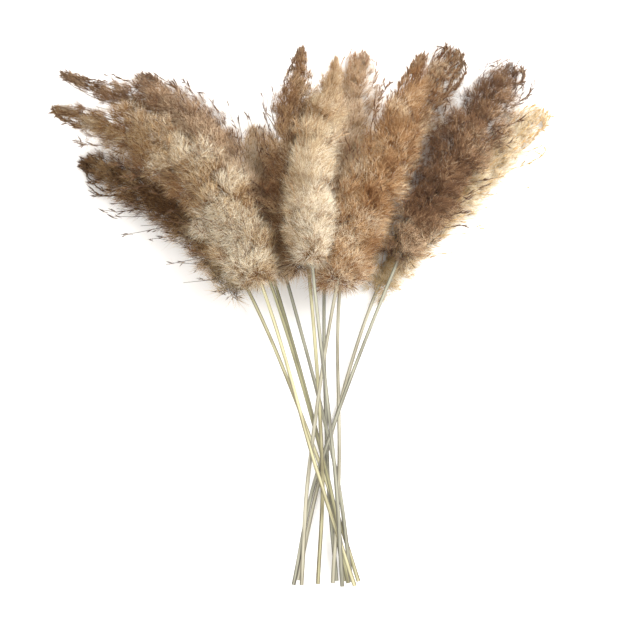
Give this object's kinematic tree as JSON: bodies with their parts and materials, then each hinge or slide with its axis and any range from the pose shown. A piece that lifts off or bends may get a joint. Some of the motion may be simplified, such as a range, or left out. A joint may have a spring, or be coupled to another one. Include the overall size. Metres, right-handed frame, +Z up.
{
  "type": "bunch of dried reeds",
  "caption": "Loose bunch of dried common reeds with fluffy brown and cream plumes on straw stems that cross, cut and lying fanned out on a surface.",
  "frame": {"origin": "middle of the bunch on the surface that it lies on, under the centre of its box", "axes": "+Y runs from the cut ends to the plumes, +Z is up from the surface, +X is to the right when the plumes point away"},
  "size_m": [0.5504, 0.605, 0.1407],
  "materials": {
    "straw": "satin dried straw",
    "pale_plume": "matte silky hairs",
    "beige_plume": "matte silky hairs",
    "brown_plume": "matte silky hairs",
    "dark_plume": "matte silky hairs",
    "tan_plume": "matte silky hairs",
    "golden_plume": "matte silky hairs",
    "cream_plume": "matte silky hairs"
  },
  "bodies": {
    "root": {"reed_01_stem": "straw", "reed_01_plume": "pale_plume", "reed_02_stem": "straw", "reed_02_plume": "beige_plume", "reed_03_stem": "straw", "reed_03_plume": "brown_plume", "reed_04_stem": "straw", "reed_04_plume": "dark_plume", "reed_05_stem": "straw", "reed_05_plume": "beige_plume", "reed_06_stem": "straw", "reed_06_plume": "brown_plume", "reed_07_stem": "straw", "reed_07_plume": "brown_plume", "reed_08_stem": "straw", "reed_08_plume": "dark_plume", "reed_09_stem": "straw", "reed_09_plume": "tan_plume", "reed_10_stem": "straw", "reed_10_plume": "golden_plume", "reed_11_stem": "straw", "reed_11_plume": "cream_plume", "reed_12_stem": "straw", "reed_12_plume": "cream_plume"}
  },
  "joints": []
}
